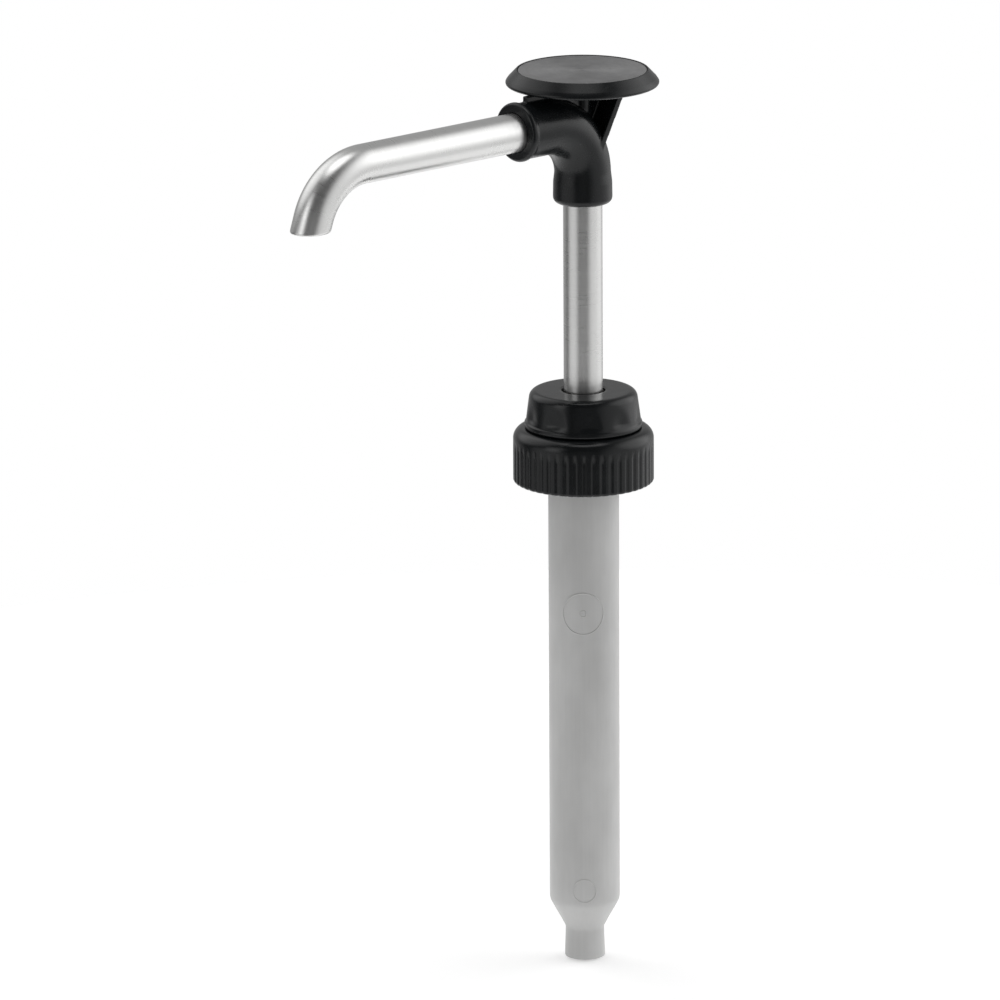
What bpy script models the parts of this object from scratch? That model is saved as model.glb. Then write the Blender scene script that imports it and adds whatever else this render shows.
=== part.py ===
"""Condiment pump dispenser: a hand pump that screws onto a wide-neck jar.

Frame: metres, +Z up. The origin is on the pump's axis, in the plane of the jar's
rim, which is the underside of the jar gasket. The spout points toward -Y.
Heights named *_Z are measured from that plane.
"""
import math

import bpy
import bmesh
from mathutils import Vector

MM = 0.001
GAP = 0.3 * MM                      # clearance between pieces that touch

OBJECT_NAME = "condiment_pump_dispenser"
OUTER_STEPS = 48                    # facets round a large turned piece
INNER_STEPS = 24                    # facets round a small or hidden piece
MIDDLE_STEPS = 36                   # facets round a piece between the two
CAP_STEPS = 72                      # facets round the ribbed cap
HOLE_STEPS = 16                     # facets round a small hole or pin
MERGE = 0.00001                     # merge distance of every merging modifier

# ---------------------------------------------------------------- driving sizes
# Discharge tube: 5/8 inch stainless, one bent piece from piston to spout outlet.
TUBE_R = 15.875 * MM / 2
TUBE_WALL = 1.0 * MM
ELBOW_R = 22.0 * MM                 # centreline radius of the bend inside the head
SPOUT_Z = 133.9 * MM                # centreline of the level part of the spout
SPOUT_LEVEL_END = 117.1 * MM        # where the level part ends, from the axis
SPOUT_BEND_R = 26.8 * MM
SPOUT_END_ANGLE = math.radians(71.4)
SPOUT_TAIL = 9.0 * MM               # straight end of the spout, before it is cut level
SPOUT_OUTLET_Z = 110.4 * MM

# Pump cylinder: one stroke gives one US fluid ounce.
CYLINDER_R = 14.4 * MM
CYLINDER_BORE_R = 12.5 * MM
SHOT_VOLUME = 29.57e-6
STROKE = SHOT_VOLUME / (math.pi * CYLINDER_BORE_R ** 2)
CONE_TOP_Z = -193.7 * MM
CONE_BOTTOM_Z = -205.5 * MM
NOZZLE_R = 7.95 * MM
NOZZLE_TIP_R = 8.25 * MM
NOZZLE_BORE_R = 5.5 * MM
NOZZLE_Z = -218.4 * MM
SEAT_TOP_Z = -194.5 * MM
SEAT_BOTTOM_Z = -207.0 * MM
NECK_TOP_Z = 16.8 * MM
CAGE_T = 2.0 * MM                   # disc over the inlet ball
CAGE_HOLE_R = 2.1 * MM
CAGE_HOLE_OUT = 7.2 * MM            # hole circle of the disc over the inlet ball
CAGE_HOLES = 6
BUSHING_LOW_Z = 3.0 * MM
ROD_SEAL_Z = 10.0 * MM
SEAL_SECTION_R = 0.82 * MM          # section radius of the tube's two O-rings
SEAL_GROOVE_DEPTH = 2.0 * MM
SEAL_GROOVE_H = 2.8 * MM

# Jar cap, gasket and locking nut.
GASKET_T = 1.5 * MM
GASKET_R = 25.2 * MM
FLANGE_R = 20.0 * MM
FLANGE_T = 1.6 * MM
CAP_R = 28.6 * MM
CAP_INNER_R = 25.9 * MM
CAP_TOP_Z = 6.0 * MM
CAP_BOTTOM_Z = -16.4 * MM
CAP_SHOULDER_R = 4.6 * MM
CAP_RIBS = 48
CAP_RIB_CUTTER_R = 1.35 * MM
CAP_RIB_DEPTH = 0.6 * MM
CAP_FOOT_EDGE = 0.8 * MM
NUT_BASE_R = 23.9 * MM              # plain lip round the bottom
NUT_SIDE_R = 23.4 * MM              # bottom of the tapered side, above the lip
NUT_TOP_R = 22.1 * MM               # top of the tapered side, under the rounded crown
NUT_CROWN_R = 3.2 * MM
NUT_LIP_H = 2.4 * MM
NUT_TOP_Z = 21.5 * MM
NUT_HOLE_R = 8.9 * MM
NUT_WALL_TOP = 2.3 * MM
NUT_FLUTES = 10
NUT_FLUTE_R = 14.0 * MM
NUT_FLUTE_DEPTH = 1.7 * MM          # at the lip; the flutes run out below the crown
NUT_LIP_EDGE = 0.6 * MM

# Head: the moulded elbow, its web, and the palm disc on top.
ARM_R = 11.45 * MM
FOOT_R = 12.05 * MM
FOOT_H = 10.0 * MM
FOOT_CORNER_R = 2.6 * MM
HEAD_BOTTOM_Z = 99.5 * MM
COLLAR_R = 12.1 * MM
COLLAR_FRONT = 36.6 * MM            # front of the collar, from the axis
COLLAR_T = 2.8 * MM
COLLAR_EDGE_R = 1.3 * MM            # rounding of the collar's front
COLLAR_BACK_EDGE = 0.5 * MM
WEB_T = 2.6 * MM
WEB_FRONT = 31.0 * MM               # front edge of the web, from the axis
RIB_HALF_WIDTH = 10.8 * MM
RIB_T = 3.0 * MM                    # rear rib, measured level
RIB_FOOT = (-1.8 * MM, 121.6 * MM)  # inner face of the rear rib: (behind the axis, height)
RIB_LEAN = 0.53                     # how far the rib goes back for each unit of height
BOSS_R = 13.0 * MM
BOSS_T = 1.6 * MM
SCREW_BOSS_R = 3.4 * MM
SCREW_HOLE_R = 1.7 * MM
SCREW_HOLE_DEPTH = 7.0 * MM
WEB_CHIN = 1.5 * MM                 # web's lower edge, above the foot of the rib
WEB_SHELF_FRONT = 26.0 * MM         # where the web passes under the disc's lip
WEB_TOP_FRONT = 24.0 * MM
DISC_R = 31.0 * MM
DISC_TOP_R = 27.0 * MM
DISC_TOP_Z = 154.5 * MM
DISC_WIDE_Z = 149.3 * MM
DISC_LIP_Z = 148.2 * MM
DISC_UNDER_Z = 150.9 * MM
PAD_R = 26.0 * MM
PAD_T = 0.9 * MM
PAD_EDGE = 0.2 * MM
RECESS_DEPTH = PAD_T + 0.5 * MM     # the pad lies a little below the disc's rim
DISC_EDGE_R = 0.9 * MM
DISC_RIM_IN = 1.6 * MM              # from the widest point in to the rim's lower edge
DISC_UNDER_R = 26.6 * MM            # flat underside
DISC_HOLE_R = 1.9 * MM
DISC_SINK_R = 3.6 * MM              # countersink at the recess floor
DISC_SINK_DEPTH = 1.6 * MM
SCREW_HEAD_R = 3.1 * MM
SCREW_HEAD_H = 1.7 * MM
SCREW_SHANK_R = 1.4 * MM
SCREW_TIP_R = 0.5 * MM
SCREW_REACH = 6.5 * MM              # below the underside of the disc

# Piston group, at rest (top of the stroke).
PISTON_TOP_Z = -48.0 * MM
PISTON_R = 12.2 * MM
SOCKET_FLOOR_Z = -62.0 * MM
NOSE_R = 9.4 * MM
NOSE_TOP_Z = -69.0 * MM
PISTON_BOTTOM_Z = -84.0 * MM
RING_GROOVE_TOP_Z = -51.0 * MM      # wear ring's groove
RING_GROOVE_LOW_Z = -56.0 * MM
RING_GROOVE_DEPTH = 1.2 * MM
WIPE = 0.2 * MM                     # clearance of a sliding lip in the cylinder
TUBE_SEAL_Z = -57.2 * MM
CUP_BACK_R = 11.6 * MM
CUP_BACK_H = 2.4 * MM
CUP_LIP_H = 5.7 * MM                # the lip flares out this far below the cup's back
CUP_INNER_H = 6.2 * MM
CUP_WALL = 0.9 * MM
RETAINER_R = 11.7 * MM
RETAINER_DROP = 7.2 * MM            # from the shoulder of the nose to the retainer
RETAINER_EDGE = 0.6 * MM
RETAINER_SLOT_R = 1.4 * MM
WASHER_HOLE_R = 4.6 * MM
WASHER_T = 1.6 * MM
OUTLET_BALL_R = 4.75 * MM
INLET_BALL_R = 6.0 * MM
BALL_LIFT = 3.0 * MM
SPRING_WIRE_R = 0.8 * MM
SPRING_COIL_R = 10.2 * MM
SPRING_TURNS = 10
SPRING_END_TURNS = 1.1              # closed turns at each end
SPRING_END_GAP = 0.25 * MM


# ---------------------------------------------------------------- scene helpers
def clear_scene():
    for obj in list(bpy.data.objects):
        bpy.data.objects.remove(obj, do_unlink=True)
    for collection in list(bpy.data.collections):
        bpy.data.collections.remove(collection)


def new_collection(name):
    collection = bpy.data.collections.new(name)
    bpy.context.scene.collection.children.link(collection)
    return collection


clear_scene()
PARTS = new_collection(OBJECT_NAME)
CUTTERS = new_collection("cutters")


def make_material(name, color, roughness, metallic=0.0):
    material = bpy.data.materials.new(name)
    material.use_nodes = True
    shader = material.node_tree.nodes["Principled BSDF"]
    shader.inputs["Base Color"].default_value = (*color, 1.0)
    shader.inputs["Roughness"].default_value = roughness
    shader.inputs["Metallic"].default_value = metallic
    return material


STEEL = ((0.62, 0.62, 0.61), 0.30, 1.0)
BLACK_GLOSS = ((0.012, 0.012, 0.013), 0.22, 0.0)
BLACK_SATIN = ((0.016, 0.016, 0.018), 0.38, 0.0)
DARK_GREY = ((0.10, 0.10, 0.105), 0.45, 0.0)
GREY_PLASTIC = ((0.47, 0.47, 0.47), 0.45, 0.0)
NATURAL_PLASTIC = ((0.75, 0.74, 0.70), 0.50, 0.0)
RUBBER = ((0.03, 0.03, 0.03), 0.75, 0.0)


def add_object(name, mesh, looks):
    """Link a mesh as a named part; with looks None it becomes a hidden cutter."""
    obj = bpy.data.objects.new(name, mesh)
    if looks is None:
        CUTTERS.objects.link(obj)
        hide_cutter(obj)
    else:
        PARTS.objects.link(obj)
        obj.data.materials.append(make_material(name, *looks))
    return obj


def hide_cutter(obj):
    obj.hide_render = True
    obj.display_type = "WIRE"


def shade_round(mesh):
    mesh.shade_smooth()
    mesh.set_sharp_from_angle(angle=math.radians(35))


# ---------------------------------------------------------------- shape helpers
def turned(name, profile, looks, steps=INNER_STEPS, closed=True, along_y=False):
    """Turn a profile of (radius, height) about the axis with a Screw modifier.

    The profile runs down its outer side. A closed profile makes a ring; an open
    one starts and ends on the axis. Along_y lays the turned shape along -Y.
    """
    mesh = bpy.data.meshes.new(name)
    frame = bmesh.new()
    verts = [frame.verts.new((r, 0.0, z)) for r, z in profile]
    for start, end in zip(verts, verts[1:]):
        frame.edges.new((start, end))
    if closed:
        frame.edges.new((verts[-1], verts[0]))
    frame.to_mesh(mesh)
    frame.free()
    obj = add_object(name, mesh, looks)
    screw = obj.modifiers.new("turn", "SCREW")
    screw.steps = steps
    screw.render_steps = steps
    screw.use_merge_vertices = True
    screw.merge_threshold = MERGE
    screw.use_smooth_shade = True
    if along_y:
        obj.rotation_euler = (math.radians(90), 0.0, 0.0)
    return obj


def ring(name, inner, outer, bottom, top, looks, steps=INNER_STEPS, edge=0.0):
    """A flat ring with chamfered outer edges where edge is not zero."""
    profile = [(outer - edge, top), (outer, top - edge), (outer, bottom + edge), (outer - edge, bottom)]
    if edge == 0.0:
        profile = [(outer, top), (outer, bottom)]
    return turned(name, profile + [(inner, bottom), (inner, top)], looks, steps)


def section_ring(name, coil_radius, section_radius, height, looks, sides=8):
    """An O-ring: a round section turned about the axis."""
    profile = []
    for i in range(sides):
        angle = -2 * math.pi * i / sides
        profile.append((coil_radius + section_radius * math.cos(angle),
                        height + section_radius * math.sin(angle)))
    return turned(name, profile, looks)


def arc(centre, radius, start_deg, end_deg, count):
    """Points (radius, height) along an arc, ends included."""
    points = []
    for i in range(count + 1):
        angle = math.radians(start_deg + (end_deg - start_deg) * i / count)
        points.append((centre[0] + radius * math.cos(angle), centre[1] + radius * math.sin(angle)))
    return points


def curve_mesh(name, points, radius, bevel_resolution, caps=True):
    """A round tube or rod along points, as a welded mesh."""
    curve = bpy.data.curves.new(name, "CURVE")
    curve.dimensions = "3D"
    curve.bevel_depth = radius
    curve.bevel_resolution = bevel_resolution
    curve.use_fill_caps = caps
    spline = curve.splines.new("POLY")
    spline.points.add(len(points) - 1)
    for point, place in zip(spline.points, points):
        point.co = (*place, 1.0)
    return mesh_from_curve(name, curve)


def mesh_from_curve(name, curve):
    holder = bpy.data.objects.new(name, curve)
    CUTTERS.objects.link(holder)
    graph = bpy.context.evaluated_depsgraph_get()
    mesh = bpy.data.meshes.new_from_object(holder.evaluated_get(graph))
    mesh.materials.clear()
    mesh.name = name
    bpy.data.objects.remove(holder, do_unlink=True)
    frame = bmesh.new()
    frame.from_mesh(mesh)
    bmesh.ops.remove_doubles(frame, verts=frame.verts, dist=MERGE)
    bmesh.ops.recalc_face_normals(frame, faces=frame.faces)
    frame.to_mesh(mesh)
    frame.free()
    shade_round(mesh)
    return mesh


def plate(name, outline, half_thickness, looks=None):
    """A flat plate in the plane of the spout: outline of (distance to the front, height)."""
    curve = bpy.data.curves.new(name, "CURVE")
    curve.dimensions = "2D"
    curve.fill_mode = "BOTH"
    curve.extrude = half_thickness
    spline = curve.splines.new("POLY")
    spline.points.add(len(outline) - 1)
    for point, (forward, height) in zip(spline.points, outline):
        point.co = (-forward, height, 0.0, 1.0)
    spline.use_cyclic_u = True
    mesh = mesh_from_curve(name, curve)
    for vertex in mesh.vertices:
        across, height, side = vertex.co
        vertex.co = (side, across, height)
    return add_object(name, mesh, looks)


def rod(name, radius, low, high, looks=None, segments=24):
    """A plain cylinder between two points."""
    axis = Vector(high) - Vector(low)
    frame = bmesh.new()
    bmesh.ops.create_cone(frame, cap_ends=True, segments=segments, radius1=radius,
                          radius2=radius, depth=axis.length)
    mesh = bpy.data.meshes.new(name)
    frame.to_mesh(mesh)
    frame.free()
    shade_round(mesh)
    obj = add_object(name, mesh, looks)
    obj.location = (Vector(low) + Vector(high)) / 2
    obj.rotation_euler = axis.to_track_quat("Z", "Y").to_euler()
    return obj


def ball(name, radius, height, looks):
    frame = bmesh.new()
    bmesh.ops.create_uvsphere(frame, u_segments=16, v_segments=10, radius=radius)
    mesh = bpy.data.meshes.new(name)
    frame.to_mesh(mesh)
    frame.free()
    mesh.shade_smooth()
    obj = add_object(name, mesh, looks)
    obj.location = (0.0, 0.0, height)
    return obj


def boolean(obj, tool, operation):
    modifier = obj.modifiers.new(tool.name, "BOOLEAN")
    modifier.operation = operation
    modifier.solver = "EXACT"
    modifier.object = tool


def cut(obj, tool):
    boolean(obj, tool, "DIFFERENCE")


def join(obj, tool):
    boolean(obj, tool, "UNION")


def joined_copies(name, source, count):
    """One cutter object holding count copies of a mesh, spaced evenly about the axis."""
    frame = bmesh.new()
    graph = bpy.context.evaluated_depsgraph_get()
    for i in range(count):
        mesh = bpy.data.meshes.new_from_object(source.evaluated_get(graph))
        mesh.transform(source.matrix_world)
        turn = 2 * math.pi * i / count
        for vertex in mesh.vertices:
            x, y, z = vertex.co
            vertex.co = (x * math.cos(turn) - y * math.sin(turn),
                         x * math.sin(turn) + y * math.cos(turn), z)
        frame.from_mesh(mesh)
        bpy.data.meshes.remove(mesh)
    mesh = bpy.data.meshes.new(name)
    frame.to_mesh(mesh)
    frame.free()
    bpy.data.objects.remove(source, do_unlink=True)
    return add_object(name, mesh, None)


def tube_path(low, elbow_steps, front=None):
    """Centreline of the discharge tube from height low, round the elbow, to its outlet.

    With front given, the path stops level at that distance from the axis instead.
    """
    points = [(0.0, 0.0, low)]
    centre_z = SPOUT_Z - ELBOW_R
    for i in range(elbow_steps + 1):
        angle = 0.5 * math.pi * i / elbow_steps
        points.append((0.0, -ELBOW_R * (1 - math.cos(angle)), centre_z + ELBOW_R * math.sin(angle)))
    if front is not None:
        return points + [(0.0, -front, SPOUT_Z)]
    bend_steps = elbow_steps
    for i in range(bend_steps + 1):
        angle = SPOUT_END_ANGLE * i / bend_steps
        points.append((0.0, -SPOUT_LEVEL_END - SPOUT_BEND_R * math.sin(angle),
                       SPOUT_Z - SPOUT_BEND_R * (1 - math.cos(angle))))
    last = points[-1]
    points.append((0.0, last[1] - SPOUT_TAIL * math.cos(SPOUT_END_ANGLE),
                   last[2] - SPOUT_TAIL * math.sin(SPOUT_END_ANGLE)))
    return points


# ---------------------------------------------------------------- cylinder group
def pump_cylinder():
    flange_low = GASKET_T + GAP
    flange_high = flange_low + FLANGE_T
    profile = [
        (CYLINDER_R, NECK_TOP_Z), (CYLINDER_R, flange_high), (FLANGE_R, flange_high),
        (FLANGE_R, flange_low), (CYLINDER_R, flange_low), (CYLINDER_R, CONE_TOP_Z),
        (NOZZLE_R, CONE_BOTTOM_Z), (NOZZLE_TIP_R, NOZZLE_Z), (NOZZLE_BORE_R, NOZZLE_Z),
        (NOZZLE_BORE_R, SEAT_BOTTOM_Z), (CYLINDER_BORE_R, SEAT_TOP_Z), (CYLINDER_BORE_R, NECK_TOP_Z),
    ]
    return turned("pump_cylinder", profile, GREY_PLASTIC, OUTER_STEPS)


def seated_height(ball_radius, hole_radius, hole_z, slope):
    """Centre height of a ball that rests on a cone, one gap off its wall.

    Slope is the cone's growth in radius for each unit of height.
    """
    across = math.hypot(1.0, slope)
    return hole_z + ((ball_radius + GAP) * across - hole_radius) / slope


INLET_SLOPE = (CYLINDER_BORE_R - NOZZLE_BORE_R) / (SEAT_TOP_Z - SEAT_BOTTOM_Z)
INLET_BALL_Z = seated_height(INLET_BALL_R, NOZZLE_BORE_R, SEAT_BOTTOM_Z, INLET_SLOPE)
CAGE_LOW_Z = INLET_BALL_Z + INLET_BALL_R + BALL_LIFT + GAP
CAGE_TOP_Z = CAGE_LOW_Z + CAGE_T


def inlet_ball_cage():
    """Perforated disc that stops the lower ball and carries the spring."""
    rim = CYLINDER_BORE_R - 2 * GAP
    cage = turned("inlet_ball_cage", [(0, CAGE_TOP_Z), (rim, CAGE_TOP_Z), (rim, CAGE_LOW_Z), (0, CAGE_LOW_Z)],
                  NATURAL_PLASTIC, closed=False)
    hole = rod("cage_hole", CAGE_HOLE_R, (CAGE_HOLE_OUT, 0, CAGE_LOW_Z - MM),
               (CAGE_HOLE_OUT, 0, CAGE_TOP_Z + MM), segments=HOLE_STEPS)
    bpy.context.view_layer.update()
    cut(cage, joined_copies("cage_holes", hole, CAGE_HOLES))
    return cage


def jar_gasket():
    """Flat ring that seals the cap's inner top to the jar's rim."""
    return ring("jar_gasket", CYLINDER_R + GAP, GASKET_R, 0.0, GASKET_T, RUBBER, OUTER_STEPS)


def jar_cap():
    """Screw cap with a rounded shoulder, fluted skirt and one turn of inner thread."""
    under = GASKET_T + GAP + FLANGE_T + GAP
    shoulder = (CAP_R - CAP_SHOULDER_R, CAP_TOP_Z - CAP_SHOULDER_R)
    foot = CAP_FOOT_EDGE
    profile = arc(shoulder, CAP_SHOULDER_R, 90, 0, 6)
    profile += [(CAP_R, CAP_BOTTOM_Z + foot), (CAP_R - foot, CAP_BOTTOM_Z), (CAP_INNER_R, CAP_BOTTOM_Z),
                (CAP_INNER_R, under), (CYLINDER_R + GAP, under), (CYLINDER_R + GAP, CAP_TOP_Z)]
    cap = turned("jar_cap", profile, BLACK_GLOSS, CAP_STEPS)
    flute_x = CAP_R + CAP_RIB_CUTTER_R - CAP_RIB_DEPTH
    flute_top = CAP_TOP_Z - 1.3 * CAP_SHOULDER_R
    flute = rod("cap_flute", CAP_RIB_CUTTER_R, (flute_x, 0, CAP_BOTTOM_Z - MM), (flute_x, 0, flute_top),
                segments=8)
    bpy.context.view_layer.update()
    cut(cap, joined_copies("cap_flutes", flute, CAP_RIBS))
    return cap


def cylinder_nut():
    """Domed locking nut with finger flutes; it traps the cap on the cylinder's flange."""
    base = CAP_TOP_Z + GAP
    lip_z = base + NUT_LIP_H
    crown = (NUT_TOP_R - NUT_CROWN_R, NUT_TOP_Z - NUT_CROWN_R)
    inner_r = CYLINDER_R + GAP
    ceiling = NUT_TOP_Z - NUT_WALL_TOP
    profile = arc(crown, NUT_CROWN_R, 90, 6, 5)
    profile += [(NUT_SIDE_R, lip_z), (NUT_BASE_R, lip_z - NUT_LIP_EDGE), (NUT_BASE_R, base),
                (inner_r, base), (inner_r, ceiling), (NUT_HOLE_R, ceiling), (NUT_HOLE_R, NUT_TOP_Z)]
    nut = turned("cylinder_nut", profile, BLACK_GLOSS, OUTER_STEPS)
    reach_low = NUT_SIDE_R + NUT_FLUTE_R - NUT_FLUTE_DEPTH
    reach_high = NUT_TOP_R + NUT_FLUTE_R + 0.1 * MM
    flute = rod("nut_flute", NUT_FLUTE_R, (reach_low, 0, lip_z + 0.8 * MM), (reach_high, 0, crown[1]),
                segments=64)
    bpy.context.view_layer.update()
    cut(nut, joined_copies("nut_flutes", flute, NUT_FLUTES))
    return nut


def rod_guide_bushing():
    """Flanged sleeve in the cylinder's mouth that guides the tube, with a seal groove."""
    bore = TUBE_R + GAP
    body = CYLINDER_BORE_R - GAP
    low = BUSHING_LOW_Z
    groove_low = ROD_SEAL_Z - SEAL_GROOVE_H / 2
    groove_high = ROD_SEAL_Z + SEAL_GROOVE_H / 2
    flange_low = NECK_TOP_Z + GAP
    flange_high = NUT_TOP_Z - NUT_WALL_TOP - GAP
    groove = bore + SEAL_GROOVE_DEPTH
    profile = [
        (CYLINDER_R - GAP, flange_high), (CYLINDER_R - GAP, flange_low), (body, flange_low), (body, low),
        (bore, low), (bore, groove_low), (groove, groove_low), (groove, groove_high),
        (bore, groove_high), (bore, flange_high),
    ]
    return turned("rod_guide_bushing", profile, NATURAL_PLASTIC)


# Middle of the groove that holds an O-ring round the tube.
SEAL_MIDDLE_R = TUBE_R + (GAP + SEAL_GROOVE_DEPTH) / 2


def rod_seal():
    """O-ring in the guide bushing, round the tube."""
    return section_ring("rod_seal", SEAL_MIDDLE_R, SEAL_SECTION_R, ROD_SEAL_Z, RUBBER)


# ---------------------------------------------------------------- plunger group
def discharge_tube():
    """One bent stainless tube: plunger rod below the head, spout in front of it."""
    mesh = curve_mesh("discharge_tube", tube_path(SOCKET_FLOOR_Z + GAP, 8), TUBE_R, 10, caps=False)
    tube = add_object("discharge_tube", mesh, STEEL)
    wall = tube.modifiers.new("wall", "SOLIDIFY")
    wall.thickness = TUBE_WALL
    wall.offset = -1.0
    wall.use_rim = True
    front = SPOUT_LEVEL_END + SPOUT_BEND_R
    half = 20 * MM
    level = rod("outlet_cut", half, (0, -front, SPOUT_OUTLET_Z - half), (0, -front, SPOUT_OUTLET_Z),
                segments=8)
    cut(tube, level)
    return tube


def pump_head():
    """Moulded head over the tube's elbow: elbow, foot, collar, web, rear rib and bosses."""
    top = DISC_UNDER_Z - GAP
    arm_low = HEAD_BOTTOM_Z + 4 * MM
    arm_front = COLLAR_FRONT - 2 * COLLAR_EDGE_R
    elbow_mesh = curve_mesh("pump_head", tube_path(arm_low, 9, arm_front), ARM_R, 11)
    head = add_object("pump_head", elbow_mesh, BLACK_SATIN)

    foot_top = HEAD_BOTTOM_Z + FOOT_H + 3 * MM
    foot_profile = [(0, foot_top), (ARM_R - 1.5 * MM, foot_top), (FOOT_R, HEAD_BOTTOM_Z + FOOT_H)]
    foot_profile += arc((FOOT_R - FOOT_CORNER_R, HEAD_BOTTOM_Z + FOOT_CORNER_R), FOOT_CORNER_R, 0, -90, 5)
    foot_profile += [(0, HEAD_BOTTOM_Z)]
    join(head, turned("head_foot", foot_profile, None, MIDDLE_STEPS, closed=False))

    back = COLLAR_FRONT - COLLAR_T
    edge_centre = (COLLAR_R - COLLAR_EDGE_R, COLLAR_FRONT - COLLAR_EDGE_R)
    collar_profile = [(0, COLLAR_FRONT)] + arc(edge_centre, COLLAR_EDGE_R, 90, 0, 3)
    collar_profile += [(COLLAR_R, back + COLLAR_BACK_EDGE), (COLLAR_R - COLLAR_BACK_EDGE, back), (0, back)]
    collar = turned("head_collar", collar_profile, None, MIDDLE_STEPS, closed=False, along_y=True)
    collar.location = (0, 0, SPOUT_Z)
    join(head, collar)

    foot_y, foot_z = RIB_FOOT
    top_y = foot_y + RIB_LEAN * (top - foot_z)
    web_low = foot_z + WEB_CHIN
    under_lip = DISC_LIP_Z - GAP
    web_back = RIB_T / 2
    web_outline = [(-top_y - web_back, top), (-foot_y - web_back, foot_z + 2 * MM), (6 * MM, web_low),
                   (WEB_FRONT, SPOUT_Z), (WEB_FRONT, under_lip), (WEB_SHELF_FRONT, under_lip),
                   (WEB_TOP_FRONT, top)]
    join(head, plate("head_web", web_outline, WEB_T / 2))

    rib_outline = [(-foot_y, foot_z), (-foot_y - RIB_T, foot_z), (-top_y - RIB_T, top), (-top_y, top)]
    join(head, plate("head_rib", rib_outline, RIB_HALF_WIDTH))

    join(head, rod("disc_boss", BOSS_R, (0, 0, top - BOSS_T), (0, 0, top), segments=40))
    join(head, rod("screw_boss", SCREW_BOSS_R, (0, 0, SPOUT_Z + 2 * MM), (0, 0, top - 0.4 * MM)))
    cut(head, rod("screw_hole", SCREW_HOLE_R, (0, 0, top - SCREW_HOLE_DEPTH), (0, 0, top + MM),
                  segments=HOLE_STEPS))
    bore_mesh = curve_mesh("head_bore", tube_path(HEAD_BOTTOM_Z - 5 * MM, 9, COLLAR_FRONT + 5 * MM),
                           TUBE_R + GAP, 8)
    cut(head, add_object("head_bore", bore_mesh, None))
    return head


def palm_disc():
    """Mushroom disc with a flared rim, a recess for the pad and a countersunk screw hole."""
    recess = PAD_R + GAP
    floor = DISC_TOP_Z - RECESS_DEPTH
    edge_x = DISC_R - DISC_EDGE_R
    profile = [(recess, DISC_TOP_Z), (DISC_TOP_R, DISC_TOP_Z - 0.1 * MM), (edge_x, DISC_WIDE_Z + DISC_EDGE_R)]
    profile += arc((edge_x, DISC_WIDE_Z), DISC_EDGE_R, 50, -70, 4)
    profile += [(DISC_R - DISC_RIM_IN, DISC_LIP_Z), (DISC_UNDER_R, DISC_UNDER_Z), (DISC_HOLE_R, DISC_UNDER_Z),
                (DISC_HOLE_R, floor - DISC_SINK_DEPTH), (DISC_SINK_R, floor), (recess, floor)]
    return turned("palm_disc", profile, BLACK_SATIN, OUTER_STEPS)


def palm_pad():
    """Thin round pad that fills the disc's recess."""
    low = DISC_TOP_Z - RECESS_DEPTH + GAP
    high = low + PAD_T
    profile = [(0, high), (PAD_R - PAD_EDGE, high), (PAD_R, high - PAD_EDGE), (PAD_R, low), (0, low)]
    return turned("palm_pad", profile, DARK_GREY, OUTER_STEPS, closed=False)


def disc_screw():
    """Countersunk screw that holds the disc down on the head's boss."""
    head_z = DISC_TOP_Z - RECESS_DEPTH - 0.1 * MM
    neck_z = head_z - SCREW_HEAD_H
    tip_z = DISC_UNDER_Z - GAP - SCREW_REACH
    profile = [(0, head_z), (SCREW_HEAD_R, head_z), (SCREW_SHANK_R, neck_z), (SCREW_SHANK_R, tip_z + MM),
               (SCREW_TIP_R, tip_z), (0, tip_z)]
    return turned("disc_screw", profile, STEEL, 24, closed=False)


# ---------------------------------------------------------------- piston group
CHAMBER_R = 6.6 * MM
OUTLET_HOLE_R = 3.6 * MM
OUTLET_SEAT_Z = -77.0 * MM
OUTLET_BALL_Z = seated_height(OUTLET_BALL_R, OUTLET_HOLE_R, OUTLET_SEAT_Z, 1.0)
PIN_R = 1.0 * MM
PIN_Z = OUTLET_BALL_Z + OUTLET_BALL_R + BALL_LIFT + GAP + PIN_R


def piston_body():
    """Piston: socket for the tube, upper ball chamber and threaded nose."""
    socket = TUBE_R + GAP
    groove = socket + SEAL_GROOVE_DEPTH
    groove_low = TUBE_SEAL_Z - SEAL_GROOVE_H / 2
    groove_high = TUBE_SEAL_Z + SEAL_GROOVE_H / 2
    wear = PISTON_R - RING_GROOVE_DEPTH
    seat_top = OUTLET_SEAT_Z + CHAMBER_R - OUTLET_HOLE_R
    profile = [
        (PISTON_R, PISTON_TOP_Z), (PISTON_R, RING_GROOVE_TOP_Z), (wear, RING_GROOVE_TOP_Z),
        (wear, RING_GROOVE_LOW_Z), (PISTON_R, RING_GROOVE_LOW_Z),
        (PISTON_R, NOSE_TOP_Z), (NOSE_R, NOSE_TOP_Z), (NOSE_R, PISTON_BOTTOM_Z),
        (OUTLET_HOLE_R, PISTON_BOTTOM_Z), (OUTLET_HOLE_R, OUTLET_SEAT_Z), (CHAMBER_R, seat_top),
        (CHAMBER_R, SOCKET_FLOOR_Z), (socket, SOCKET_FLOOR_Z), (socket, groove_low), (groove, groove_low),
        (groove, groove_high), (socket, groove_high), (socket, PISTON_TOP_Z),
    ]
    piston = turned("piston_body", profile, NATURAL_PLASTIC)
    reach = PISTON_R + MM
    cut(piston, rod("pin_hole", PIN_R + GAP, (-reach, 0, PIN_Z), (reach, 0, PIN_Z),
                    segments=HOLE_STEPS))
    return piston


def outlet_ball_pin():
    """Cross pin that keeps the upper ball in its chamber."""
    reach = PISTON_R - 0.8 * MM
    return rod("outlet_ball_pin", PIN_R, (-reach, 0, PIN_Z), (reach, 0, PIN_Z), STEEL, segments=HOLE_STEPS)


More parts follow.
